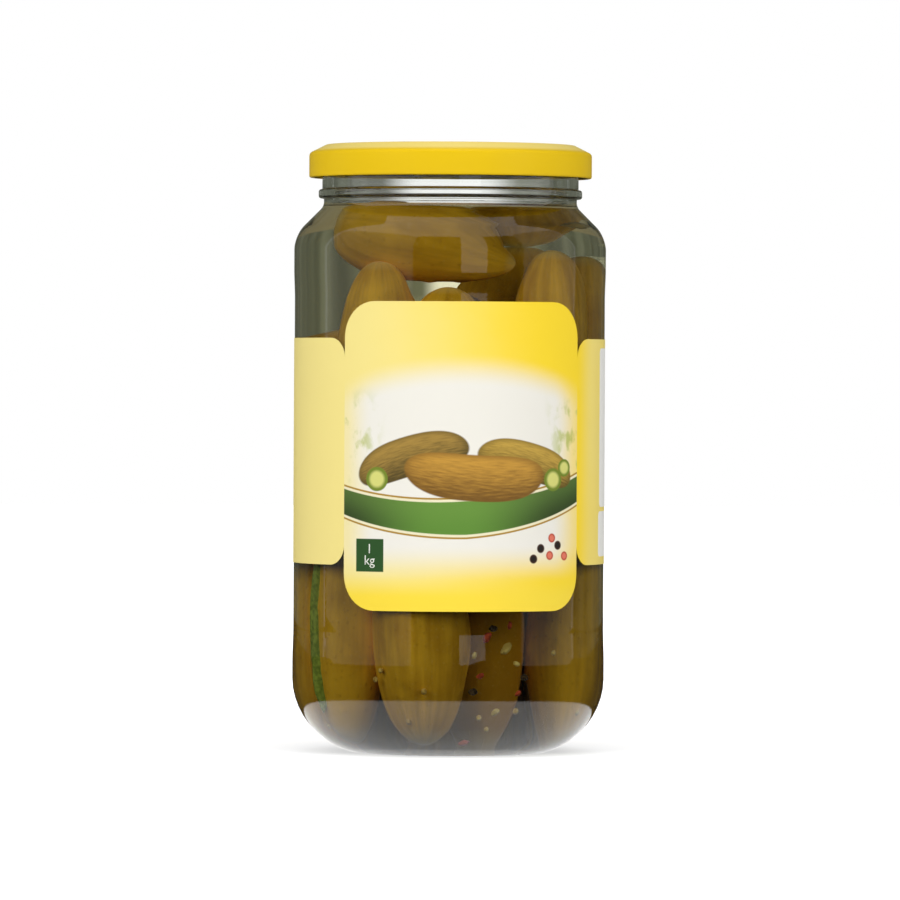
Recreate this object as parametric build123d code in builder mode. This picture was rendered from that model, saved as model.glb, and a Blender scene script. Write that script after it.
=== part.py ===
import os
from math import acos, asin, cos, degrees, radians, sin, sqrt, tan

from build123d import *

# Glass jar, measured from the surface it stands on up to its lip
jar_height = 182.4
body_radius = 47.2
wall = 2.5

heel_radius = 23.0
heel_width = 17.7
base_ring_width = 3.2
push_up = 3.6
base_thickness = 3.2
floor_thickness = 3.4

# The label sits on a shallow recess of the body, clear of the heel and the shoulder
panel_depth = 0.25
panel_step = 2.0
panel_above_heel = 8.6
panel_below_shoulder = 12.06

shoulder_angle = 45.0
shoulder_round = 10.0
shoulder_hollow = 3.0

# Neck, measured down from the lip
neck_length = 16.2
neck_radius = 38.8
neck_wall = 2.6
waist_inset = 0.5
lip_round = 1.1
bead_drop = 13.7
bead_depth = 1.1
bead_width = 2.7
bead_round = 0.75
bead_root = 0.3

# Twist-off thread: short sloped ridges round the neck
thread_starts = 6
thread_drop = 5.2
thread_depth = 1.9
thread_width = 2.2
thread_arc = 46.0
thread_slope = 2.5
thread_root = 0.4

# Tinplate lid
tin = 0.25
lid_clearance = 1.85
lid_skirt_drop = 8.8
lid_shoulder_width = 5.2
lid_shoulder_rise = 2.6
lid_shoulder_round = 1.1
lid_rim_width = 2.6
lid_panel_drop = 0.9
lid_panel_slope = 1.0
lid_bend = 0.5
button_radius = 15.0
button_rise = 0.5
curl_radius = 0.6
lug_reach = 2.4
lug_arc = 13.0
lug_clearance = 0.3

# Sealing ring between the jar's lip and the lid
seal_thickness = 0.95
seal_overhang = 0.4
seal_clearance = 0.05

# Paper label: a tall front panel and a lower band that runs round the back
paper = 0.12
label_clearance = 0.03
front_width = 78.7
front_margin_low = 12.8
front_margin_high = 8.1
front_corner = 11.0
band_inset_low = 13.4
band_inset_high = 10.9
band_corner = 6.0
band_tuck = 0.4

# Brine, filled to this far below the lip
headspace = 18.1
brine_clearance = 0.03

# Sizes that follow from the ones above
inner_radius = body_radius - wall
panel_radius = body_radius - panel_depth
neck_bore = neck_radius - neck_wall
waist_radius = neck_radius - waist_inset
bead_radius = neck_radius + bead_depth
thread_radius = neck_radius + thread_depth
lid_radius = thread_radius + lid_clearance + tin

base_ring_radius = body_radius - heel_width
ring_bore = base_ring_radius - base_ring_width
ring_offset = heel_radius - heel_width
heel_center_radius = body_radius - heel_radius
heel_center_height = sqrt(heel_radius**2 - ring_offset**2)
heel_arc = degrees(acos(ring_offset / heel_radius))
inner_heel = heel_center_height - base_thickness

shoulder_lead = tan(radians(shoulder_angle / 2))
shoulder_fall = 1 / tan(radians(shoulder_angle))
waist_corner = jar_height - neck_length - shoulder_hollow * shoulder_lead
shoulder_corner = waist_corner - (body_radius - waist_radius) * shoulder_fall
inner_shoulder_corner = shoulder_corner - wall * shoulder_lead
inner_neck_corner = inner_shoulder_corner + (inner_radius - neck_bore) * shoulder_fall

panel_bottom = heel_center_height + panel_above_heel
panel_top = shoulder_corner - panel_below_shoulder
bead_height = jar_height - bead_drop
thread_height = jar_height - thread_drop

lid_top = jar_height + seal_thickness + tin
lid_bottom = jar_height - lid_skirt_drop
rim_radius = lid_radius - lid_shoulder_width
rim_inner_radius = rim_radius - lid_rim_width
lid_slope = lid_shoulder_rise / lid_shoulder_width
lug_top = thread_height - thread_width / 2 - lug_clearance

label_inner = panel_radius + label_clearance
label_outer = label_inner + paper
front_arc = degrees(front_width / label_outer)
tuck_arc = degrees(band_tuck / label_outer)
front_bottom = panel_bottom + front_margin_low
front_top = panel_top - front_margin_high
band_bottom = front_bottom + band_inset_low
band_top = front_top - band_inset_high

brine_level = jar_height - headspace


def dome(edge_radius, edge_height, center_height):
    """Draw a shallow dome's arc from its edge to its top on the axis."""
    rise = center_height - edge_height
    radius = (edge_radius**2 + rise**2) / (2 * rise)
    arc = degrees(asin(edge_radius / radius))
    CenterArc((0, center_height - radius), radius, 90 - arc, arc)


def inner_profile(clearance):
    """Corners and rounds of the jar's inside, from the neck down to the heel."""
    side = inner_radius - clearance
    bore = neck_bore - clearance
    shift = clearance * shoulder_lead
    corners = [
        (bore, inner_neck_corner - shift),
        (side, inner_shoulder_corner - shift),
        (side, heel_center_height),
    ]
    rounds = [
        shoulder_hollow + wall + clearance,
        shoulder_round - wall - clearance,
    ]
    return corners, rounds


def inner_floor(clearance):
    """Draw the heel and the domed floor of the jar's inside, down to the axis."""
    heel_center = (inner_radius - inner_heel, heel_center_height)
    heel_radius_inside = inner_heel - clearance
    center_height = push_up + floor_thickness + clearance
    CenterArc(heel_center, heel_radius_inside, 0, -90)
    dome(heel_center[0], heel_center_height - heel_radius_inside, center_height)
    return center_height


def label_sheet(middle, arc, low, high, corner):
    """Add one round-cornered panel of the label, centred on the direction -middle."""
    with BuildSketch(Plane.XZ.rotated((0, 0, -middle - arc / 2))) as section:
        with Locations((label_inner + paper / 2, (low + high) / 2)):
            Rectangle(paper, high - low)
    revolve(section.sketch, axis=Axis.Z, revolution_arc=arc)
    for side in (-1, 1):
        angle = radians(-middle + side * arc / 2)
        radial = (cos(angle), sin(angle), 0)
        tangent = (-sin(angle), cos(angle), 0)
        for edge, inward in ((low, 1), (high, -1)):
            with BuildSketch(Plane((0, 0, 0), x_dir=tangent, z_dir=radial)) as cutter:
                inset = (corner - paper) / 2
                with Locations((-side * inset, edge + inward * inset)):
                    Rectangle(corner + paper, corner + paper)
                with Locations((-side * corner, edge + inward * corner)):
                    Circle(corner, mode=Mode.SUBTRACT)
            extrude(cutter.sketch, amount=2 * label_outer, mode=Mode.SUBTRACT)


# One ridge of the thread, laid flat about its own middle height
with BuildPart() as thread_ridge:
    with BuildSketch(Plane.XZ.rotated((0, 0, -thread_arc / 2))) as ridge_section:
        with BuildLine():
            root = neck_radius - thread_root
            half = thread_width / 2
            Polyline(
                (root, -half),
                (thread_radius - half / 2, -half),
                (thread_radius, -half / 3),
                (thread_radius, half / 3),
                (thread_radius - half / 2, half),
                (root, half),
                close=True,
            )
        make_face()
    revolve(axis=Axis.Z, revolution_arc=thread_arc)

with BuildPart() as jar:
    with BuildSketch(Plane.XZ) as jar_section:
        with BuildLine():
            bead_low = bead_height - bead_width / 2
            bead_high = bead_height + bead_width / 2
            inside_corners, inside_rounds = inner_profile(0)
            dome(ring_bore, 0, push_up)
            Line((ring_bore, 0), (base_ring_radius, 0))
            CenterArc(
                (heel_center_radius, heel_center_height),
                heel_radius,
                -heel_arc,
                heel_arc,
            )
            FilletPolyline(
                (body_radius, heel_center_height),
                (body_radius, panel_bottom),
                (panel_radius, panel_bottom + panel_step),
                (panel_radius, panel_top - panel_step),
                (body_radius, panel_top),
                (body_radius, shoulder_corner),
                (waist_radius, waist_corner),
                (waist_radius, bead_low),
                (bead_radius, bead_low),
                (bead_radius, bead_high),
                (neck_radius, bead_high),
                (neck_radius, jar_height),
                (neck_bore, jar_height),
                *inside_corners,
                radius=[
                    panel_step,
                    panel_step,
                    panel_step,
                    panel_step,
                    shoulder_round,
                    shoulder_hollow,
                    bead_root,
                    bead_round,
                    bead_round,
                    bead_root,
                    lip_round,
                    lip_round,
                    *inside_rounds,
                ],
            )
            floor_height = inner_floor(0)
            Line((0, floor_height), (0, push_up))
        make_face()
    revolve(axis=Axis.Z)
    with PolarLocations(0, thread_starts):
        with Locations(Location((0, 0, thread_height), (thread_slope, 0, 0))):
            add(thread_ridge.part)
jar.part.label = "jar"

with BuildPart() as brine:
    with BuildSketch(Plane.XZ) as brine_section:
        with BuildLine():
            inside_corners, inside_rounds = inner_profile(brine_clearance)
            FilletPolyline(
                (0, jar_height),
                (neck_bore - brine_clearance, jar_height),
                *inside_corners,
                radius=[0, *inside_rounds],
            )
            floor_height = inner_floor(brine_clearance)
            Line((0, floor_height), (0, jar_height))
        make_face()
    revolve(axis=Axis.Z)
    split(bisect_by=Plane.XY.offset(brine_level), keep=Keep.BOTTOM)
brine.part.label = "brine"

with BuildPart() as seal:
    with BuildSketch(Plane.XZ) as seal_section:
        with BuildLine():
            seal_inner = neck_bore - seal_overhang
            seal_outer = neck_radius - seal_overhang
            seal_top = jar_height + seal_thickness - seal_clearance
            Polyline(
                (seal_inner, jar_height),
                (seal_outer, jar_height),
                (seal_outer, seal_top - (seal_outer - rim_radius) * lid_slope),
                (rim_radius - seal_clearance, seal_top),
                (seal_inner, seal_top),
                close=True,
            )
        make_face()
    revolve(axis=Axis.Z)
seal.part.label = "seal"

# Inward tab of the lid's curl, which grips under a ridge of the thread
with BuildPart() as lug:
    with BuildSketch(Plane.XZ.rotated((0, 0, -lug_arc / 2))) as lug_section:
        with BuildLine():
            reach = lid_radius - tin - lug_reach
            Polyline(
                (lid_radius - tin / 2, lid_bottom + curl_radius),
                (reach + curl_radius, lid_bottom + curl_radius / 2),
                (reach, lid_bottom + curl_radius),
                (reach, lug_top - curl_radius / 2),
                (reach + curl_radius / 2, lug_top),
                (lid_radius - tin / 2, lug_top),
                close=True,
            )
        make_face()
    revolve(axis=Axis.Z, revolution_arc=lug_arc)

with BuildPart() as lid:
    with BuildSketch(Plane.XZ) as lid_section:
        with BuildLine():
            shoulder_foot = lid_top - lid_shoulder_rise
            panel_height = lid_top - lid_panel_drop
            FilletPolyline(
                (lid_radius, lid_bottom + curl_radius),
                (lid_radius, shoulder_foot),
                (rim_radius, lid_top),
                (rim_inner_radius, lid_top),
                (rim_inner_radius - lid_panel_slope, panel_height),
                (button_radius, panel_height),
                (button_radius - lid_panel_slope, panel_height + button_rise),
                (0, panel_height + button_rise),
                radius=[
                    lid_shoulder_round,
                    lid_shoulder_round,
                    lid_bend,
                    lid_bend,
                    lid_bend,
                    lid_bend,
                ],
            )
            offset(amount=tin, side=Side.LEFT)
        make_face()
        with Locations((lid_radius - curl_radius, lid_bottom + curl_radius)):
            Circle(curl_radius)
    revolve(axis=Axis.Z)
    with PolarLocations(0, thread_starts):
        add(lug.part)
lid.part.label = "lid"

with BuildPart() as band:
    label_sheet(270, 360 - front_arc + 2 * tuck_arc, band_bottom, band_top, band_corner)

with BuildPart() as label:
    label_sheet(90, front_arc, front_bottom, front_top, front_corner)
    add(band.part)
label.part.label = "label"

os.makedirs("parts", exist_ok=True)
for piece in (jar, lid, seal, label, brine):
    export_step(piece.part, f"parts/{piece.part.label}.step")
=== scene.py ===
import math
import random

import bmesh
import bpy
from mathutils import Matrix, Vector, noise


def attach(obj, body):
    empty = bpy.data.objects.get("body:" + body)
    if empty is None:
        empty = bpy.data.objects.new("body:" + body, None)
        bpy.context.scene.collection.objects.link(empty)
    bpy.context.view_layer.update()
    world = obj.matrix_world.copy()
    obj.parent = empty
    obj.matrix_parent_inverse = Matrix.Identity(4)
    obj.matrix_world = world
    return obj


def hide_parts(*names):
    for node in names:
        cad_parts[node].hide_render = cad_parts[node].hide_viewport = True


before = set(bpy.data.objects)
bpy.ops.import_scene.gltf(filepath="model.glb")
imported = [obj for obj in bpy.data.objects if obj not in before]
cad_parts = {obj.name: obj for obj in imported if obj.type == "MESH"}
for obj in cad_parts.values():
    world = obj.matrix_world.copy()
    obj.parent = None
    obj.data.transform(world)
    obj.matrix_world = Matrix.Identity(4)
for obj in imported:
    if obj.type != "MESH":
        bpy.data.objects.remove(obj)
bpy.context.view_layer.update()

mm = 0.001
scene = bpy.context.scene
scene.view_settings.view_transform = "Standard"
scene.cycles.max_bounces = 24
scene.cycles.transmission_bounces = 20
scene.cycles.glossy_bounces = 8
scene.cycles.transparent_max_bounces = 24
scene.cycles.caustics_refractive = False
scene.cycles.caustics_reflective = False


cameraValues = {
    "turn": -6.4,  # degrees from the label's middle, towards the jar's left
    "distance": 2.2,
    "eyeHeight": 0.115,
    "aimHeight": 0.0913,
    "aimRight": 0.00027,
    "lens": 290.4,
    "roll": 0.3,
}
turn = math.radians(cameraValues["turn"])
towardsCamera = Vector((math.sin(turn), -math.cos(turn), 0))
rightOfCamera = Vector((math.cos(turn), math.sin(turn), 0))


def inView(right, near, height):
    # a place in millimetres: to the right, towards the viewer, up
    return rightOfCamera * right * mm + towardsCamera * near * mm + Vector((0, 0, height * mm))


def inRing(angle, reach, height):
    # the same by angle from the line of sight, right positive
    a = math.radians(angle)
    return inView(reach * math.sin(a), reach * math.cos(a), height)


def lookAt(obj, place, target, roll=0.0):
    facing = (target - place).to_track_quat("-Z", "Y").to_matrix().to_4x4()
    obj.matrix_world = Matrix.Translation(place) @ facing @ Matrix.Rotation(math.radians(roll), 4, "Z")


def makeCamera(v):
    data = bpy.data.cameras.new("view")
    data.lens = v["lens"]
    data.sensor_width = 36
    data.clip_end = 30
    camera = bpy.data.objects.new("view", data)
    scene.collection.objects.link(camera)
    eye = towardsCamera * v["distance"] + Vector((0, 0, v["eyeHeight"]))
    target = rightOfCamera * v["aimRight"] + Vector((0, 0, v["aimHeight"]))
    lookAt(camera, eye, target, v["roll"])
    scene.camera = camera


makeCamera(cameraValues)
print("camera ready")


# a socket that can be used in sums
class Signal:
    def __init__(self, paint, socket):
        self.paint = paint
        self.socket = socket

    def maths(self, operation, second=0.0, third=0.0):
        return self.paint.add("ShaderNodeMath", {"operation": operation}, {0: self, 1: second, 2: third})

    def reversed(self, operation, first):
        return self.paint.add("ShaderNodeMath", {"operation": operation}, {0: first, 1: self})

    def __add__(self, other):
        return self.maths("ADD", other)

    def __radd__(self, other):
        return self.reversed("ADD", other)

    def __sub__(self, other):
        return self.maths("SUBTRACT", other)

    def __rsub__(self, other):
        return self.reversed("SUBTRACT", other)

    def __mul__(self, other):
        return self.maths("MULTIPLY", other)

    def __rmul__(self, other):
        return self.reversed("MULTIPLY", other)

    def __truediv__(self, other):
        return self.maths("DIVIDE", other)

    def __pow__(self, other):
        return self.maths("POWER", other)

    def __abs__(self):
        return self.maths("ABSOLUTE")

    def most(self, other):
        return self.maths("MAXIMUM", other)

    def rise(self, low, high, start=0.0, end=1.0):
        # smooth step from start to end
        settings = {"interpolation_type": "SMOOTHSTEP"}
        return self.paint.add("ShaderNodeMapRange", settings, {0: self, 1: low, 2: high, 3: start, 4: end})

    def other(self, name):
        return Signal(self.paint, self.socket.node.outputs[name])


class Paint:
    def __init__(self, name, world=False):
        self.item = (bpy.data.worlds if world else bpy.data.materials).new(name)
        self.item.use_nodes = True
        self.tree = self.item.node_tree
        self.tree.nodes.clear()
        self.out = self.tree.nodes.new("ShaderNodeOutputWorld" if world else "ShaderNodeOutputMaterial")

    def add(self, kind, settings=None, inputs=None, output=0):
        node = self.tree.nodes.new(kind)
        for key, value in (settings or {}).items():
            setattr(node, key, value)
        for key, value in (inputs or {}).items():
            if isinstance(value, Signal):
                self.tree.links.new(value.socket, node.inputs[key])
            else:
                node.inputs[key].default_value = value
        return Signal(self, node.outputs[output])

    def mix(self, factor, first, second):
        return self.add("ShaderNodeMix", {"data_type": "RGBA"}, {0: factor, 6: first, 7: second}, 2)

    def noise(self, vector, scale, detail=2.0, rough=0.5):
        inputs = {"Vector": vector, "Scale": scale, "Detail": detail, "Roughness": rough}
        return self.add("ShaderNodeTexNoise", None, inputs)

    def stretched(self, vector, scale):
        return self.add("ShaderNodeMapping", None, {"Vector": vector, "Scale": scale})

    def place(self):
        return self.add("ShaderNodeTexCoord", None, None, "Object")

    def bump(self, height, depth, strength=1.0):
        return self.add("ShaderNodeBump", None, {"Height": height, "Distance": depth, "Strength": strength})

    def principled(self, inputs):
        return self.add("ShaderNodeBsdfPrincipled", None, inputs)

    def finish(self, surface, volume=None):
        self.tree.links.new(surface.socket, self.out.inputs["Surface"])
        if volume:
            self.tree.links.new(volume.socket, self.out.inputs["Volume"])
        return self.item

    def seenRay(self):
        # one for rays that show the background: straight, mirrored or through glass
        ray = self.add("ShaderNodeLightPath", None, None, "Is Camera Ray")
        return ray.most(ray.other("Is Glossy Ray")).most(ray.other("Is Transmission Ray"))


def ink(red, green, blue):
    # a printed colour given in 0-255 display values
    def linear(c):
        c = c / 255
        return c / 12.92 if c <= 0.04045 else ((c + 0.055) / 1.055) ** 2.4
    return (linear(red), linear(green), linear(blue), 1)


def roundedLine(bm, corners, segments=8, closed=False):
    # corners are (across, up, rounding) in millimetres, drawn in the XZ plane
    points = [bm.verts.new((c[0] * mm, 0, c[1] * mm)) for c in corners]
    pairs = list(zip(points, points[1:]))
    if closed:
        pairs.append((points[-1], points[0]))
    for first, second in pairs:
        bm.edges.new((first, second))
    places = [p.co.copy() for p in points]
    for n, corner in enumerate(corners):
        if not corner[2]:
            continue
        before = (places[n - 1] - places[n]).normalized()
        after = (places[(n + 1) % len(places)] - places[n]).normalized()
        halfTurn = (math.pi - before.angle(after)) / 2
        bmesh.ops.bevel(
            bm, geom=[points[n]] + list(points[n].link_edges), offset=corner[2] * mm * math.tan(halfTurn),
            offset_type="OFFSET", affect="VERTICES", segments=segments, profile=0.5, material=-1)


def cutEdges(bm, low, high, reach, cuts):
    # finer steps on the upright edges between two heights, outside a radius
    edges = []
    for edge in bm.edges:
        a, b = edge.verts[0].co, edge.verts[1].co
        isBetween = min(a.z, b.z) > (low - 1e-3) * mm and max(a.z, b.z) < (high + 1e-3) * mm
        if min(a.x, b.x) > reach * mm and isBetween:
            edges.append(edge)
    bmesh.ops.subdivide_edges(bm, edges=edges, cuts=cuts)


def turned(bm, steps=192):
    geometry = bm.verts[:] + bm.edges[:]
    bmesh.ops.spin(
        bm, geom=geometry, cent=(0, 0, 0), axis=(0, 0, 1), angle=math.tau, steps=steps, use_merge=True)
    bmesh.ops.remove_doubles(bm, verts=bm.verts[:], dist=1e-6)
    bmesh.ops.recalc_face_normals(bm, faces=bm.faces[:])


def addPiece(name, bm, paints, node=None, sharp=40):
    mesh = bpy.data.meshes.new(name)
    bm.to_mesh(mesh)
    bm.free()
    for face in mesh.polygons:
        face.use_smooth = True
    if sharp:
        mesh.set_sharp_from_angle(angle=math.radians(sharp))
    for paint in paints:
        mesh.materials.append(paint)
    piece = bpy.data.objects.new(name, mesh)
    scene.collection.objects.link(piece)
    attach(piece, "root")
    if node:
        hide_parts(node)
    return piece


jarValues = {
    "steps": 192,
    "threadStarts": 6,
    "threadArc": 46.0,
    "threadSlope": 2.5,
    "threadDepth": 1.9,
    "threadHeight": 177.2,
    "threadWidth": 2.2,
    "neckRadius": 38.8,
    "wave": 0.000012,
    "waveScale": 38.0,
    "glassColour": (0.965, 0.98, 0.962, 1),
    "brineLevel": 164.3,
}


def glassPaint(v, name, mirror):
    paint = Paint(name)
    waves = paint.noise(paint.stretched(paint.place(), (1, 1, 0.35)), v["waveScale"], 1.0)
    glass = paint.principled({
        "Base Color": v["glassColour"], "Roughness": 0.0, "IOR": 1.5, "Transmission Weight": 1.0,
        "Specular Tint": mirror, "Normal": paint.bump(waves, v["wave"])})
    clear = paint.add("ShaderNodeBsdfTransparent", None, {"Color": (0.975, 0.98, 0.97, 1)})
    shadowRay = paint.add("ShaderNodeLightPath", None, None, "Is Shadow Ray")
    return paint.finish(paint.add("ShaderNodeMixShader", None, {0: shadowRay, 1: glass, 2: clear}))


def makeJar(v):
    bm = bmesh.new()
    roundedLine(bm, [
        (0, 3.6, 0), (14, 3.6, 45), (25.6, 0.4, 2), (26.9, 0, 0.8), (29.5, 0, 2.5), (47.2, 4.19, 22.6),
        (47.2, 28.5, 60), (46.95, 36, 60), (46.95, 138, 60), (47.2, 145, 60), (47.2, 156.04, 10),
        (38.3, 164.96, 3), (38.3, 167.35, 0.4), (39.9, 167.35, 0.75), (39.9, 170.05, 0.75),
        (38.8, 170.05, 0.3), (38.8, 173.8, 0), (38.8, 180.6, 0), (38.8, 182.4, 1.1), (36.2, 182.4, 1.1),
        (36.2, 163.52, 5.5), (44.7, 155.02, 7.5), (44.7, 3.2, 19.0), (25.52, 3.2, 12), (13, 7, 40), (0, 7, 0),
    ], 10)
    cutEdges(bm, 173.8, 180.6, 38, 22)
    turned(bm, v["steps"])
    for vert in bm.verts:
        reach = math.hypot(vert.co.x, vert.co.y)
        if abs(reach - v["neckRadius"] * mm) > 0.05 * mm or not 173.9 < vert.co.z / mm < 180.5:
            continue
        angle = math.degrees(math.atan2(vert.co.y, vert.co.x)) % (360 / v["threadStarts"])
        fromMiddle = angle if angle < 30 else angle - 60
        slope = math.tan(math.radians(v["threadSlope"])) * v["neckRadius"] * math.radians(fromMiddle)
        offset = abs(vert.co.z / mm - v["threadHeight"] - slope) / v["threadWidth"]
        end = min(1.0, max(0.0, (v["threadArc"] / 2 - abs(fromMiddle)) / 3))
        lift = v["threadDepth"] * end * max(0.0, 1 - offset ** 2) ** 0.7
        vert.co.xy *= 1 + lift * mm / reach
    # where brine wets the inside, the wall doesn't mirror
    for face in bm.faces:
        middle = face.calc_center_median()
        inward = face.normal.dot(Vector((middle.x, middle.y, 0)).normalized()) < -0.2
        onFloor = face.normal.z > 0.3 and middle.z < 30 * mm
        if middle.z < v["brineLevel"] * mm and (inward or onFloor) and middle.z > 3.1 * mm:
            face.material_index = 1
    paints = [glassPaint(v, "jarGlass", (1, 1, 1, 1)), glassPaint(v, "wetGlass", (0, 0, 0, 1))]
    return addPiece("jarBody", bm, paints, "jar", 50)


makeJar(jarValues)
print("glass jar ready")


brineValues = {
    "colour": (0.86, 0.78, 0.34, 1),
    "density": 9.0,
}


def brinePaint(v):
    paint = Paint("brineLiquid")
    liquid = paint.principled({
        "Base Color": (1, 1, 1, 1), "Roughness": 0.0, "IOR": 1.34, "Transmission Weight": 1.0,
        "Specular Tint": (0, 0, 0, 1)})
    clear = paint.add("ShaderNodeBsdfTransparent", None, {"Color": (0.97, 0.97, 0.95, 1)})
    shadowRay = paint.add("ShaderNodeLightPath", None, None, "Is Shadow Ray")
    surface = paint.add("ShaderNodeMixShader", None, {0: shadowRay, 1: liquid, 2: clear})
    body = paint.add("ShaderNodeVolumeAbsorption", None, {"Color": v["colour"], "Density": v["density"]})
    return paint.finish(surface, body)


def makeBrine(v):
    bm = bmesh.new()
    roundedLine(bm, [
        (0, 6.7, 0), (13, 6.7, 40), (25.52, 2.9, 12), (45.0, 2.9, 19.3), (45.0, 155.15, 7.3),
        (36.9, 163.25, 3), (36.75, 165.1, 0), (36.1, 164.9, 0.5), (35.0, 164.35, 2), (33.0, 164.3, 0),
        (0, 164.3, 0),
    ], 10)
    turned(bm)
    return addPiece("brineFill", bm, [brinePaint(v)], "brine", 50)


makeBrine(brineValues)
print("brine ready")


lidValues = {
    "tin": 0.25,
    "lugs": 6,
    "lugArc": 13.0,
    "lugReach": 1.6,
    "yellow": (0.80, 0.53, 0.0015, 1),
    "deepYellow": (0.72, 0.46, 0.0015, 1),
    # paleYellow is the painted highlight colour on the lid's top
    "paleYellow": (0.93, 0.77, 0.26, 1),
}


def lidPaint(v):
    paint = Paint("lidLacquer")
    spot = paint.place()
    fine = paint.noise(spot, 900, 2.0)
    broad = paint.noise(spot, 30, 3.0)
    height = paint.add("ShaderNodeSeparateXYZ", None, {0: spot}, 2)
    # painted highlight: everything above 182.2 mm, the whole top of the lid, is mixed 70% towards pale yellow
    # to stand in for light falling on it from above
    pale = height.rise(0.1812, 0.1822)
    colour = paint.mix(broad * 0.2, v["yellow"], v["deepYellow"])
    colour = paint.mix(pale * 0.7, colour, v["paleYellow"])
    # darker, rougher patches along the rolled lower edge, below 173.6 mm
    curlPatches = height.rise(0.1736, 0.1746, 1.0, 0.0) * broad.rise(0.35, 0.75)
    colour = paint.mix(curlPatches * 0.35, colour, ink(190, 155, 25))
    surface = paint.principled({
        "Base Color": colour, "Roughness": 0.3 + broad * 0.1 + curlPatches * 0.1, "Specular IOR Level": 0.22,
        "Normal": paint.bump(fine, 0.000004)})
    return paint.finish(surface)


def makeLid(v):
    bm = bmesh.new()
    roundedLine(bm, [
        (42.1, 174.75, 0), (41.6, 174.75, 0.3), (41.6, 173.6, 0.55), (42.8, 173.6, 0.55), (42.8, 181.0, 1.3),
        (37.6, 183.6, 1.3), (35.0, 183.6, 0.55), (34.2, 182.72, 0.5), (15.2, 182.72, 1), (14.0, 183.2, 1),
        (0, 183.2, 0),
    ], 8)
    turned(bm, 192)
    bmesh.ops.solidify(bm, geom=bm.faces[:], thickness=v["tin"] * mm)
    bmesh.ops.recalc_face_normals(bm, faces=bm.faces[:])
    top = max(vert.co.z for vert in bm.verts)
    bmesh.ops.translate(bm, verts=bm.verts[:], vec=(0, 0, 183.6 * mm - top))
    for vert in bm.verts:
        reach = math.hypot(vert.co.x, vert.co.y) / mm
        if vert.co.z > 175.1 * mm or reach > 42.3:
            continue
        angle = math.degrees(math.atan2(vert.co.y, vert.co.x)) % (360 / v["lugs"])
        fromMiddle = abs(angle - 30)
        lug = min(1.0, max(0.0, (v["lugArc"] / 2 + 1.5 - fromMiddle) / 3))
        vert.co.xy *= 1 - v["lugReach"] * lug * min(1.0, (42.3 - reach) / 0.4) / reach
        vert.co.z += 0.5 * mm * lug * min(1.0, (42.3 - reach) / 0.4)
    return addPiece("lidCap", bm, [lidPaint(v)], "lid", 50)


def makeSeal():
    paint = Paint("sealRubber")
    grain = paint.noise(paint.place(), 600, 2.0)
    surface = paint.principled({
        "Base Color": paint.mix(grain, (0.74, 0.73, 0.68, 1), (0.84, 0.83, 0.79, 1)),
        "Roughness": 0.55 + grain * 0.1, "Normal": paint.bump(grain, 0.00001)})
    bm = bmesh.new()
    roundedLine(bm, [(35.8, 182.41, 0.2), (38.4, 182.41, 0.2), (38.4, 182.8, 0.1), (37.5, 183.3, 0.3),
                     (35.8, 183.3, 0.3)], 4, True)
    turned(bm)
    return addPiece("sealRing", bm, [paint.finish(surface)], "seal", 50)


makeLid(lidValues)
makeSeal()
print("lid and seal ready")


labelValues = {
    "low": 43.8,
    "high": 135.92,
    "bandLow": 57.2,
    "bandHigh": 125.0,
    "halfFront": 39.35,
    "frontCorner": 11.0,
    "bandCorner": 6.0,
    "radius": 46.985,
    "paper": 0.11,
    "flap": 7.0,
    "bends": 190,
    "badgeLeft": -34.6,
    "badgeWidth": 9.4,
    "badgeLow": 55.4,
    "badgeHeight": 9.8,
}


def halfSheet(v):
    return math.pi * (v["radius"] + v["paper"] / 2)


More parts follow.
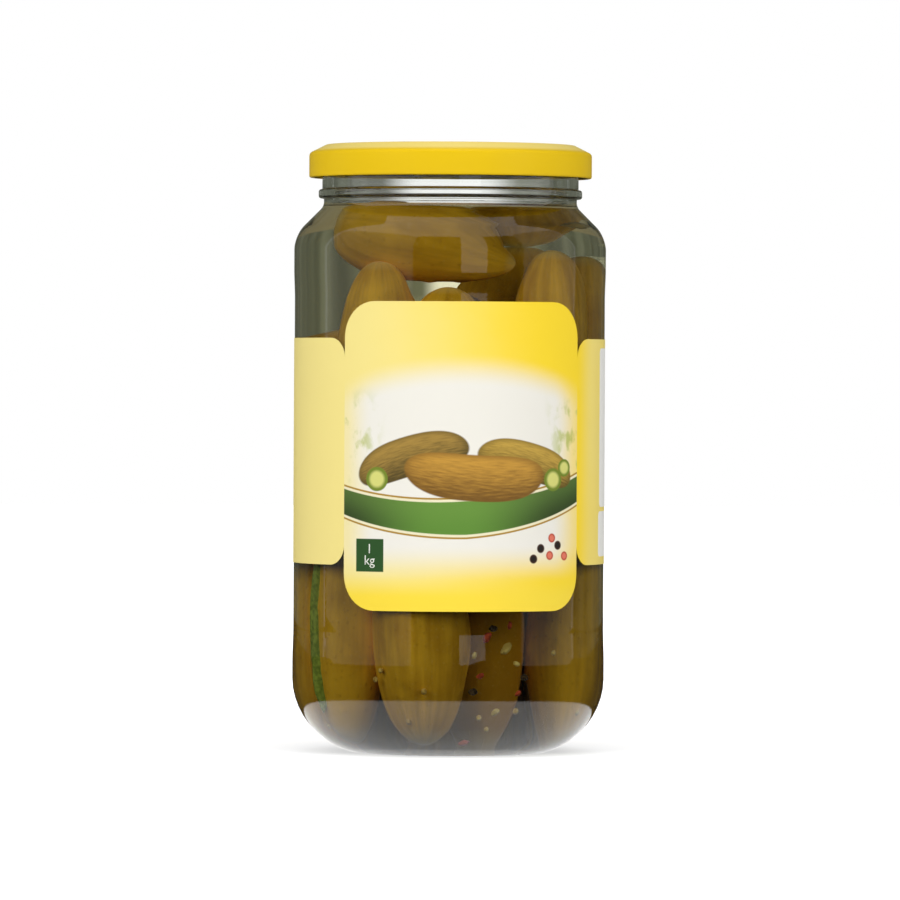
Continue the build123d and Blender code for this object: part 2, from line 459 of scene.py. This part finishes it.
def labelPaint(v):
    paint = Paint("labelPrint")
    uv = paint.add("ShaderNodeUVMap", {"uv_map": "sheet"})
    parts = paint.add("ShaderNodeSeparateXYZ", None, {0: uv})
    half = halfSheet(v)
    x = parts * (2 * half + v["flap"]) - half
    z = parts.other("Y") * (v["high"] - v["low"]) + v["low"]
    flat = paint.add("ShaderNodeCombineXYZ", None, {0: x, 1: z})
    mottle = paint.noise(flat, 0.09, 3.0)
    soft = paint.noise(flat, 0.05, 1.0)

    yellow, deepYellow, cream = ink(252, 218, 40), ink(247, 205, 22), ink(238, 235, 225)
    paleYellow = ink(246, 228, 140)

    def within(signal, low, high, edge):
        return signal.rise(low - edge, low + edge) * signal.rise(high - edge, high + edge, 1.0, 0.0)

    # ground: deep yellow to the right, paler to the left
    ground = paint.mix((x + z * 0.1 + mottle * 8).rise(-18, 42), paleYellow, yellow)
    ground = paint.mix(within(abs(x), 44, 80, 5) * (0.55 + soft * 0.3), ground, paleYellow)
    ground = paint.mix(abs(x).rise(84, 96), ground, deepYellow)

    # cream dome behind the picture, melting into the ground
    domeTop = 119.5 - (x * x) * 0.0052
    isFront = 1 - abs(x).rise(v["halfFront"] - 0.1, v["halfFront"] + 0.1)
    dome = (domeTop - z).rise(-1.5, 9) * z.rise(52, 64) * isFront
    dome = dome * (1 - (abs(x) + soft * 5).rise(31, 42) * 0.7)
    colour = paint.mix(dome, ground, cream)

    # soft leafy colours at the edges of the picture
    leaves = paint.noise(paint.stretched(flat, (1, 0.6, 1)), 0.22, 4.0)
    leafy = leaves.rise(0.5, 0.66) * within(z, 84, 106, 6) * (abs(x)).rise(24, 34) * isFront
    colour = paint.mix(leafy * 0.75, colour, ink(176, 186, 70))

    # green ribbon: a gentle arc with gilt edges
    arc = z - (71.5 + (x + 6) * (x + 6) * 0.0042)
    thick = 5.0 - abs(x) * 0.03
    shade = paint.mix((abs(x + 4)).rise(4, 34), ink(96, 142, 52), ink(52, 72, 32))
    gilt = (thick + 1.3 - abs(arc)).rise(-0.15, 0.15) * isFront
    gap = (thick + 0.75 - abs(arc)).rise(-0.15, 0.15) * isFront
    ribbon = (thick - abs(arc)).rise(-0.15, 0.15) * isFront
    colour = paint.mix(gilt, colour, ink(172, 132, 40))
    colour = paint.mix(gap, colour, ink(240, 232, 196))
    colour = paint.mix(ribbon, colour, paint.mix(arc.rise(-5, 5) * 0.35, shade, ink(120, 160, 70)))

    # gherkins of the picture
    def gherkin(base, middleX, middleZ, halfLength, halfGirth, slope, curve, light, dark):
        c, s = math.cos(math.radians(slope)), math.sin(math.radians(slope))
        along = (x - middleX) * (c / halfLength) + (z - middleZ) * (s / halfLength)
        across = (z - middleZ) * (c / halfGirth) - (x - middleX) * (s / halfGirth) + along * along * curve
        shape = abs(along) ** 3.4 + across * across
        mask = shape.rise(0.9, 1.04, 1.0, 0.0) * isFront
        streak = paint.noise(paint.add("ShaderNodeCombineXYZ", None, {0: along * 3, 1: across * 7}), 1.6, 3.0)
        tone = paint.mix((across * 0.6 + streak * 1.4 - 0.45).rise(-0.5, 0.9), dark, light)
        tone = paint.mix(shape.rise(0.45, 1.0) * 0.6, tone, dark)
        return paint.mix(mask, base, tone)

    colour = gherkin(colour, 20, 88.5, 17, 5.6, -14, 0.25, ink(196, 160, 66), ink(96, 78, 26))
    colour = gherkin(colour, -17, 90, 18, 6.0, 16, 0.3, ink(170, 136, 60), ink(84, 70, 30))
    colour = gherkin(colour, 3, 83.4, 22, 7.0, -3, -0.28, ink(200, 150, 56), ink(118, 82, 26))

    # round slices and pepper dots beside them
    def disc(base, cx, cz, radius, rim, heart):
        reach = ((x - cx) * (x - cx) + (z - cz) * (z - cz)) ** 0.5
        base = paint.mix(reach.rise(radius - 0.2, radius + 0.2, 1.0, 0.0) * isFront, base, rim)
        return paint.mix(reach.rise(radius * 0.5, radius * 0.85, 1.0, 0.0) * isFront, base, heart)

    for cx, cz, radius in ((-27.5, 83.0, 3.6), (28.6, 83.0, 3.4), (33.2, 86.5, 2.6)):
        colour = disc(colour, cx, cz, radius, ink(116, 136, 40), ink(214, 214, 120))
    dots = ((24, 62.5), (27.4, 60.4), (30.6, 63.4), (28.2, 65.6), (21.4, 59.4), (33.4, 60.2))
    for n, (cx, cz) in enumerate(dots):
        dark = n % 2 == 0
        colour = disc(colour, cx, cz, 1.35, ink(70, 40, 28) if dark else ink(188, 70, 50),
                      ink(40, 34, 30) if dark else ink(226, 120, 96))

    # lower edge of the front panel
    foot = z.rise(47.5, 55.5, 1.0, 0.0) * isFront
    colour = paint.mix(foot, colour, ink(251, 221, 62))

    # plain green square for the weight
    square = within(x, v["badgeLeft"], v["badgeLeft"] + v["badgeWidth"], 0.12)
    square = square * within(z, v["badgeLow"], v["badgeLow"] + v["badgeHeight"], 0.12)
    colour = paint.mix(square, colour, ink(44, 84, 38))

    # side panels: plain white boxes on the right one
    def box(low, high, base, top):
        middleX, middleZ = (low + high) / 2, (base + top) / 2
        dx = (abs(x - middleX) - ((high - low) / 2 - 1.6)).most(0.0)
        dz = (abs(z - middleZ) - ((top - base) / 2 - 1.6)).most(0.0)
        return ((dx * dx + dz * dz) ** 0.5).rise(1.5, 1.7, 1.0, 0.0)

    boxes = box(55.5, 92, 74.5, 122.3).most(box(54.5, 76, 59.6, 73.2))
    colour = paint.mix(boxes, colour, ink(244, 243, 238))

    grain = paint.noise(paint.place(), 2500, 2.0)
    surface = paint.principled({
        "Base Color": colour, "Roughness": 0.42 + grain * 0.1, "Specular IOR Level": 0.35,
        "Normal": paint.bump(grain, 0.000006)})
    return paint.finish(surface)


def makeLabel(v):
    half = halfSheet(v)
    reach = half + v["flap"]
    front, corner, notch = v["halfFront"], v["frontCorner"], v["bandCorner"]
    low, high, bandLow, bandHigh = v["low"], v["high"], v["bandLow"], v["bandHigh"]
    bm = bmesh.new()
    roundedLine(bm, [
        (-half, bandLow, 0), (-front, bandLow, notch * 0.99), (-front, bandLow + notch, 0),
        (-front, low, corner), (front, low, corner), (front, bandLow + notch, 0),
        (front, bandLow, notch * 0.99), (reach, bandLow, 0), (reach, bandHigh, 0),
        (front, bandHigh, notch * 0.99), (front, bandHigh - notch, 0), (front, high, corner),
        (-front, high, corner), (-front, bandHigh - notch, 0), (-front, bandHigh, notch * 0.99),
        (-half, bandHigh, 0),
    ], 12, True)
    bmesh.ops.contextual_create(bm, geom=bm.edges[:])
    bmesh.ops.triangulate(bm, faces=bm.faces[:])
    for n in range(1, v["bends"]):
        cut = (-half + (half + reach) * n / v["bends"]) * mm
        geometry = bm.verts[:] + bm.edges[:] + bm.faces[:]
        bmesh.ops.bisect_plane(bm, geom=geometry, dist=1e-7, plane_co=(cut, 0, 0), plane_no=(1, 0, 0))
    sheet = bm.loops.layers.uv.new("sheet")
    for face in bm.faces:
        for loop in face.loops:
            across = (loop.vert.co.x / mm + half) / (2 * half + v["flap"])
            loop[sheet].uv = (across, (loop.vert.co.z / mm - low) / (high - low))
    for vert in bm.verts:
        across = vert.co.x / mm
        angle = across / (v["radius"] + v["paper"] / 2)
        lift = 0.13 * min(1.0, max(0.0, (across - half + 3) / 2.5))
        radius = (v["radius"] + lift) * mm
        vert.co = (radius * math.sin(angle), -radius * math.cos(angle), vert.co.z)
    for face in bm.faces:
        face.normal_update()
        if face.normal.dot(face.calc_center_median() * Vector((1, 1, 0))) < 0:
            face.normal_flip()
    bmesh.ops.solidify(bm, geom=bm.faces[:], thickness=v["paper"] * mm)
    inner = min(vert.co.xy.length for vert in bm.verts)
    for vert in bm.verts:
        reach = vert.co.xy.length
        vert.co.xy *= (reach + v["radius"] * mm - inner) / reach
    return addPiece("labelSheet", bm, [labelPaint(v)], "label", 30)


def makeWeight(v):
    words = bpy.data.curves.new("weightWords", "FONT")
    words.body = "1\nkg"
    words.align_x = "CENTER"
    words.size = 4.1 * mm
    words.space_line = 0.82
    holder = bpy.data.objects.new("weightWords", words)
    scene.collection.objects.link(holder)
    bpy.context.view_layer.update()
    mesh = bpy.data.meshes.new_from_object(holder)
    bpy.data.objects.remove(holder)
    bm = bmesh.new()
    bm.from_mesh(mesh)
    middle = v["badgeLeft"] + v["badgeWidth"] / 2
    for vert in bm.verts:
        angle = (middle + vert.co.x / mm) / (v["radius"] + v["paper"] / 2)
        radius = (v["radius"] + v["paper"] + 0.02) * mm
        height = vert.co.y + (v["badgeLow"] + v["badgeHeight"] / 2 + 0.55) * mm
        vert.co = (radius * math.sin(angle), -radius * math.cos(angle), height)
    paint = Paint("weightInk")
    grain = paint.noise(paint.place(), 2500, 2.0)
    surface = paint.principled({"Base Color": ink(240, 242, 232), "Roughness": 0.42 + grain * 0.1})
    piece = addPiece("weightMark", bm, [paint.finish(surface)], None, 0)
    wall = piece.modifiers.new("ink", "SOLIDIFY")
    wall.thickness = 0.015 * mm
    wall.offset = 0
    return piece


makeLabel(labelValues)
makeWeight(labelValues)
print("label ready")


gherkinValues = {
    "around": 96,
    "rings": 110,
    "wartSize": 7.5,
    "wartHeight": 0.45,
    "light": (0.96, 0.545, 0.03, 1),
    "dark": (0.56, 0.275, 0.01, 1),
    "pale": (0.90, 0.66, 0.20, 1),
}


def skinPaint(v):
    paint = Paint("gherkinSkin")
    skin = paint.add("ShaderNodeAttribute", {"attribute_name": "skin"}, None, "Vector")
    ripeAndShade = paint.add("ShaderNodeAttribute", {"attribute_name": "ripenessAndShade"}, None, "Fac")
    end = paint.add("ShaderNodeAttribute", {"attribute_name": "tips"}, None, "Fac")
    streaks = paint.noise(paint.stretched(skin, (0.55, 0.55, 0.06)), 0.7, 3.0)
    clouds = paint.noise(skin, 0.07, 3.0)
    speck = paint.noise(skin, 1.3, 3.0)
    # the per-gherkin ripeness value shifts the skin tone: real variation between gherkins, and on the gherkin
    # at 34° a low value that is painted shade
    tone = (streaks * 0.9 + clouds * 0.9 + ripeAndShade * 0.45 - 0.62).rise(0.1, 0.9)
    colour = paint.mix(tone, v["dark"], v["light"])
    colour = paint.mix(speck.rise(0.58, 0.75) * 0.25, colour, v["pale"])
    colour = paint.mix(end * 0.75, colour, v["pale"])
    warts = paint.add("ShaderNodeTexVoronoi", None, {"Vector": skin, "Scale": 0.42})
    dots = warts.rise(0.0, 0.3, 1.0, 0.0)
    colour = paint.mix(dots * 0.35, colour, v["dark"])
    height = dots * 0.5 + speck * 0.12 + streaks * 0.4
    surface = paint.principled({
        "Base Color": colour, "Roughness": 0.34 + speck * 0.2, "Specular IOR Level": 0.1,
        "Normal": paint.bump(height, 0.0002)})
    return paint.finish(surface)


def makeGherkin(name, v, paint, foot, tip, girth, bow, ripenessAndShade, seed, point=(3.0, 0.5)):
    bm = bmesh.new()
    bmesh.ops.create_uvsphere(bm, u_segments=v["around"], v_segments=v["rings"], radius=1)
    skin = bm.verts.layers.float_vector.new("skin")
    ripeAndShade = bm.verts.layers.float.new("ripenessAndShade")
    tips = bm.verts.layers.float.new("tips")
    axis = tip - foot
    length = axis.length
    axis.normalize()
    side = axis.cross(Vector((0.31, 0.83, 0.2))).normalized()
    front = axis.cross(side)
    shift = Vector((seed * 17.3, seed * 5.1, seed * 9.7))
    for vert in bm.verts:
        s = max(-1.0, min(1.0, vert.co.z))
        around = math.atan2(vert.co.y, vert.co.x)
        fullness, bluntness = point if s > 0 else (3.0, 0.5)
        body = max(0.0, 1 - abs(s) ** fullness) ** bluntness
        lobes = 1 + 0.035 * math.cos(3 * around + seed) + 0.02 * math.cos(5 * around + 2 * seed)
        taper = 1 - 0.10 * s + 0.05 * math.sin(3 * s + seed)
        local = Vector((math.cos(around) * girth, math.sin(around) * girth, s * length / mm / 2))
        broad = noise.noise((local + shift) * 0.06) * 0.09
        nearest = noise.voronoi((local + shift) / v["wartSize"])[0][0]
        wart = v["wartHeight"] * math.exp(-(nearest / 0.2) ** 2) * min(1.0, body * 1.4)
        radius = (girth * body * lobes * taper * (1 + broad) + wart) * mm
        middle = foot + axis * length * (s + 1) / 2 + bow * (1 - s * s) * mm
        vert[skin] = local + shift
        vert[ripeAndShade] = ripenessAndShade
        vert[tips] = max(0.0, (abs(s) - 0.9) / 0.1)
        vert.co = middle + (side * math.cos(around) + front * math.sin(around)) * radius
    bmesh.ops.recalc_face_normals(bm, faces=bm.faces[:])
    return addPiece(name, bm, [paint], None, 0)


def makeGherkins(v):
    paint = skinPaint(v)
    # lower layer: view angle, reach, low, high, girth, lean, ripeness and painted shade (a lower value gives
    # a darker skin)
    lower = [
        (-15, 30.5, 6.0, 92, 12.4, 2, 0.35), (-57, 31.0, 7.0, 90, 10.8, -2, 0.75),
        # the gherkin at 34° gets ripeness -0.45: its darker skin is painted shade for its place deep among
        # the others
        (34, 12.5, 8.0, 88, 11.0, 2, -0.45), (78, 31.0, 6.5, 93, 12.2, -2, 0.8),
        (122, 30.0, 6.0, 90, 12.2, 1, 0.5), (168, 30.0, 7.0, 92, 12.2, 0, 0.3),
        (215, 30.0, 6.0, 88, 12.2, -1, 0.6), (262, 30.0, 7.5, 91, 12.2, 1, 0.7),
        (200, 5.0, 8.5, 94, 11.0, 0, 0.1),
    ]
    upper = [
        (-39, 29.5, 90, 148.0, 12.4, 0, 0.45), (60, 30.0, 92, 151.5, 12.5, -1, 0.55),
        (106, 30.0, 91, 150, 12.3, 1, 0.4), (156, 30.0, 92, 153, 12.6, 1, 0.5),
        (215, 30.0, 84, 128, 12.4, -1, 0.3), (266, 30.0, 80, 122, 12.4, 1, 0.6),
        (174, 4.0, 95, 139.6, 11.0, 1, 0.2), (-1, 26.5, 90, 140.6, 12.4, 0, 0.4),
    ]
    for layer, rows in (("lower", lower), ("upper", upper)):
        for n, (angle, reach, low, high, girth, lean, ripenessAndShade) in enumerate(rows):
            foot = inRing(angle + lean, reach, low)
            tip = inRing(angle - lean, reach, high)
            outward = inRing(angle, 1.2, 0) / mm
            name = f"{layer}Gherkin{n + 1}"
            makeGherkin(name, v, paint, foot, tip, girth, outward, ripenessAndShade, n + len(layer) * 3)
            print(name)
    # the one lying across the top
    makeGherkin("topGherkin", v, paint, inView(-30.5, 13.5, 157.3), inView(17, 21, 147.2), 10.2,
                inView(0, 0, 0.3) / mm, 0.6, 41, (2.1, 0.62))


makeGherkins(gherkinValues)
print("gherkins ready")


spiceValues = {
    "seedSize": 0.85,
    "pepperSize": 2.3,
    "looseSeeds": 18,
}


def addBit(bm, place, size, squash=(1, 1, 1), rough=0.12, detail=3, spin=0.0):
    # one small rounded lump, a little uneven
    made = bmesh.ops.create_icosphere(bm, subdivisions=detail, radius=1)["verts"]
    for vert in made:
        vert.co *= 1 + rough * noise.noise(vert.co * 1.6 + place * 700)
    bmesh.ops.scale(bm, vec=squash, verts=made)
    bmesh.ops.rotate(bm, cent=(0, 0, 0), matrix=Matrix.Rotation(spin, 3, "Y"), verts=made)
    bmesh.ops.rotate(bm, cent=(0, 0, 0), matrix=Matrix.Rotation(turn, 3, "Z"), verts=made)
    bmesh.ops.scale(bm, vec=(size * mm,) * 3, verts=made)
    bmesh.ops.translate(bm, vec=place, verts=made)


def spicePaint(name, light, dark, scale=700, gloss=0.35):
    paint = Paint(name)
    mottle = paint.noise(paint.place(), scale, 3.0)
    surface = paint.principled({
        "Base Color": paint.mix(mottle.rise(0.35, 0.65), dark, light), "Roughness": gloss + mottle * 0.2,
        "Specular IOR Level": 0.15, "Normal": paint.bump(mottle, 0.0002)})
    return paint.finish(surface)


def makeSpices(v):
    draw = random.Random(7)
    pepperRed = bmesh.new()
    for right, near, height, size, long, spin in (
            (11.0, 37.0, 35.8, 1.7, 1.3, 0.5), (9.2, 37.5, 24.5, 1.2, 1.2, 1.1),
            (17.5, 36.0, 39.5, 1.0, 1.5, 0.2), (4.5, 30.0, 6.6, 1.3, 1.6, 1.4),
            (20.0, 35.5, 19.5, 1.0, 1.4, 0.9)):
        addBit(pepperRed, inView(right, near, height), size * 0.8, (0.8, 0.5, long), 0.3, 3, spin)
    addPiece("redPepperBits", pepperRed, [
        spicePaint("redPepper", (0.62, 0.10, 0.04, 1), (0.30, 0.05, 0.02, 1))], None, 0)

    garlic = bmesh.new()
    for right, near, height, size, long, spin in (
            (16.5, 36.0, 32.6, 1.8, 1.5, 0.7), (19.5, 35.5, 28.0, 1.1, 1.2, 1.9),
            (7.5, 38.0, 30.5, 1.0, 1.4, 0.2), (13.5, 36.0, 14.5, 1.2, 1.4, 1.0)):
        addBit(garlic, inView(right, near, height), size * 0.8, (0.85, 0.5, long), 0.25, 3, spin)
    addPiece("garlicBits", garlic, [
        spicePaint("garlic", (0.85, 0.66, 0.20, 1), (0.55, 0.38, 0.08, 1))], None, 0)

    pepper = bmesh.new()
    for right, near, height in (
            (21.5, 33.0, 24.0), (12.5, 33.5, 38.5), (7.0, 36.0, 20.0)):
        addBit(pepper, inView(right, near, height), v["pepperSize"] * 0.45, (1.2, 1, 0.9), 0.3, 3)
    addPiece("peppercorns", pepper, [
        spicePaint("peppercorn", (0.10, 0.065, 0.03, 1), (0.02, 0.014, 0.01, 1), 1800, 0.5)], None, 0)

    seeds = bmesh.new()
    for n in range(v["looseSeeds"]):
        angle, fall = draw.uniform(-180, 180), draw.random()
        height = 9.5 + 24 * fall * fall
        reach = 43.0 if height > 22 else 25.5 + math.sqrt(max(0.0, 18.0 ** 2 - (22.38 - height) ** 2))
        place = inRing(angle, reach - draw.uniform(0.6, 1.4), height)
        addBit(seeds, place, v["seedSize"] * draw.uniform(0.8, 1.1), (1, 1, 1.1), 0.05, 2)
    addPiece("mustardSeeds", seeds, [
        spicePaint("mustardSeed", (0.85, 0.62, 0.16, 1), (0.50, 0.30, 0.06, 1), 900)], None, 0)

    dill = bmesh.new()
    for right, near, height, tilt in (
            (-36.2, 20.0, 44.0, 0.05), (-35.2, 21.0, 33.0, 0.02)):
        addBit(dill, inView(right, near, height), 2.9, (1.4, 0.5, 6.6), 0.2, 4, tilt)
    addPiece("dillStalks", dill, [
        spicePaint("dill", (0.36, 0.47, 0.06, 1), (0.20, 0.28, 0.03, 1))], None, 0)


makeSpices(spiceValues)
print("spices ready")


studioValues = {
    "worldPlain": 0.45,
    "floorGlow": 0.5,
    "brightReach": 0.076,
    "cardColour": (0.02, 0.02, 0.02, 1),
    "backColour": (0.17, 0.18, 0.14, 1),
    "bandColour": (0.07, 0.075, 0.055, 1),
    "edgeColour": (0.95, 0.95, 0.95, 1),
    "softColour": (0.42, 0.42, 0.40, 1),
    "lyingColour": (0.22, 0.19, 0.12, 1),
}


def makeWorld(v):
    paint = Paint("studioAir", True)
    plain = (v["worldPlain"],) * 3 + (1,)
    colour = paint.mix(paint.seenRay(), plain, (1, 1, 1, 1))
    scene.world = paint.finish(paint.add("ShaderNodeBackground", None, {"Color": colour, "Strength": 1.0}))


def flatStage(name, width, height, place, target, paint):
    bm = bmesh.new()
    bm.loops.layers.uv.new("card")
    bmesh.ops.create_grid(bm, x_segments=1, y_segments=1, size=0.5, calc_uvs=True)
    bmesh.ops.scale(bm, vec=(width, height, 1), verts=bm.verts[:])
    mesh = bpy.data.meshes.new(name)
    bm.to_mesh(mesh)
    bm.free()
    mesh.materials.append(paint)
    obj = bpy.data.objects.new(name, mesh)
    scene.collection.objects.link(obj)
    if target is not None:
        lookAt(obj, place, target)
    return obj


def makeFloor(v):
    paint = Paint("paleFloor")
    grain = paint.noise(paint.place(), 3.0, 2.0)
    matt = paint.principled({
        "Base Color": paint.mix(grain, (0.86, 0.86, 0.86, 1), (0.88, 0.88, 0.88, 1)), "Roughness": 0.9,
        "Specular IOR Level": 0.0})
    spot = paint.add("ShaderNodeVectorMath", {"operation": "LENGTH"}, {0: paint.place()}, "Value")
    level = spot.rise(0.12, 0.6, v["floorGlow"], 1.0)
    through = paint.add("ShaderNodeLightPath", None, None, "Is Transmission Ray")
    mirrored = paint.add("ShaderNodeLightPath", None, None, "Is Glossy Ray")
    bright = (paint.seenRay() * level).most(through).most(mirrored)
    colour = paint.mix(bright, (0, 0, 0, 1), (1, 1, 1, 1))
    glow = paint.add("ShaderNodeEmission", None, {"Color": colour, "Strength": 1.0})
    surface = paint.add("ShaderNodeAddShader", None, {0: matt, 1: glow})
    # mirrored in the glass, the floor is bright close to the jar and dark farther out
    dim = paint.add("ShaderNodeEmission", None, {"Color": v["cardColour"], "Strength": 1.0})
    factor = mirrored * spot.rise(v["brightReach"] - 0.003, v["brightReach"] + 0.003)
    surface = paint.add("ShaderNodeMixShader", None, {0: factor, 1: surface, 2: dim})
    flatStage("floor", 8, 8, None, None, paint.finish(surface))


cardValues = {
    # angle, reach, width, height and low edge in metres
    "frontCard": (-9.5, 1.4, 0.88, 1.3, 0.0),
    "rightCard": (41, 1.4, 0.70, 1.3, 0.0),
    "leftSoftCard": (-64.5, 1.4, 2.15, 1.5, 0.0),
    "rightSoftCard": (80, 1.4, 1.3, 1.5, 0.0),
    "leftBackCard": (-140, 0.6, 0.95, 1.5, 0.02),
    "rightBackCard": (140, 0.6, 0.95, 1.5, 0.02),
}


def makeCard(name, v, paint, throughGlass=False):
    angle, reach, width, height, low = v[name]
    place = inRing(angle, reach / mm, (low + height / 2) / mm)
    card = flatStage(name, width, height, place, Vector((0, 0, place.z)), paint)
    card.visible_camera = False
    card.visible_diffuse = False
    card.visible_shadow = False
    card.visible_transmission = throughGlass


def glowPaint(name, colour):
    paint = Paint(name)
    return paint.finish(paint.add("ShaderNodeEmission", None, {"Color": colour, "Strength": 1.0}))


def backPaint(v):
    # grey with upright bands, white at the edges
    paint = Paint("greyCard")
    uv = paint.add("ShaderNodeUVMap", {"uv_map": "card"})
    across = abs(paint.add("ShaderNodeSeparateXYZ", None, {0: uv}) - 0.5)
    bands = paint.noise(paint.stretched(uv, (1, 0.02, 1)), 9.0, 2.0)
    colour = paint.mix(bands.rise(0.35, 0.65), v["bandColour"], v["backColour"])
    colour = paint.mix(across.rise(0.45, 0.5), colour, v["edgeColour"])
    return paint.finish(paint.add("ShaderNodeEmission", None, {"Color": colour, "Strength": 1.0}))


def makeCards(v, cards):
    # dark and soft cards are mirrored in the glass
    paint = Paint("darkCard")
    dark = paint.finish(paint.principled({"Base Color": v["cardColour"], "Roughness": 0.9}))
    makeCard("frontCard", cards, dark)
    makeCard("rightCard", cards, dark)
    soft = glowPaint("softCard", v["softColour"])
    makeCard("leftSoftCard", cards, soft)
    makeCard("rightSoftCard", cards, soft)
    # the back ones show through it as well
    back = backPaint(v)
    makeCard("leftBackCard", cards, back, True)
    makeCard("rightBackCard", cards, back, True)
    # brown card lying behind, seen only through the shoulder
    lying = glowPaint("lyingCard", v["lyingColour"])
    behind = flatStage("lyingCard", 3.0, 1.4, inView(0, -780, 1), inView(0, -780, -100), lying)
    behind.visible_camera = False
    behind.visible_diffuse = False
    behind.visible_shadow = False
    behind.visible_glossy = False


lampValues = {
    # angle, reach, height and size in metres, watts
    "leftLamp": (-48, 1.8, 0.8, 1.2, 12.5),
    "rightLamp": (52, 1.8, 0.6, 1.2, 9),
    "topLamp": (10, 0.5, 1.7, 1.0, 8),
    "lowLamp": (-5, 0.55, 0.02, 0.5, 0.5),
}


def makeLamp(name, angle, reach, height, size, power):
    data = bpy.data.lights.new(name, "AREA")
    data.shape = "SQUARE"
    data.size = size
    data.energy = power
    lamp = bpy.data.objects.new(name, data)
    scene.collection.objects.link(lamp)
    lookAt(lamp, inRing(angle, reach / mm, height / mm), Vector((0, 0, 0.09)))
    lamp.visible_glossy = False
    lamp.visible_transmission = False


makeWorld(studioValues)
makeFloor(studioValues)
makeCards(studioValues, cardValues)
for lampName, lampRow in lampValues.items():
    makeLamp(lampName, *lampRow)
print("studio ready")
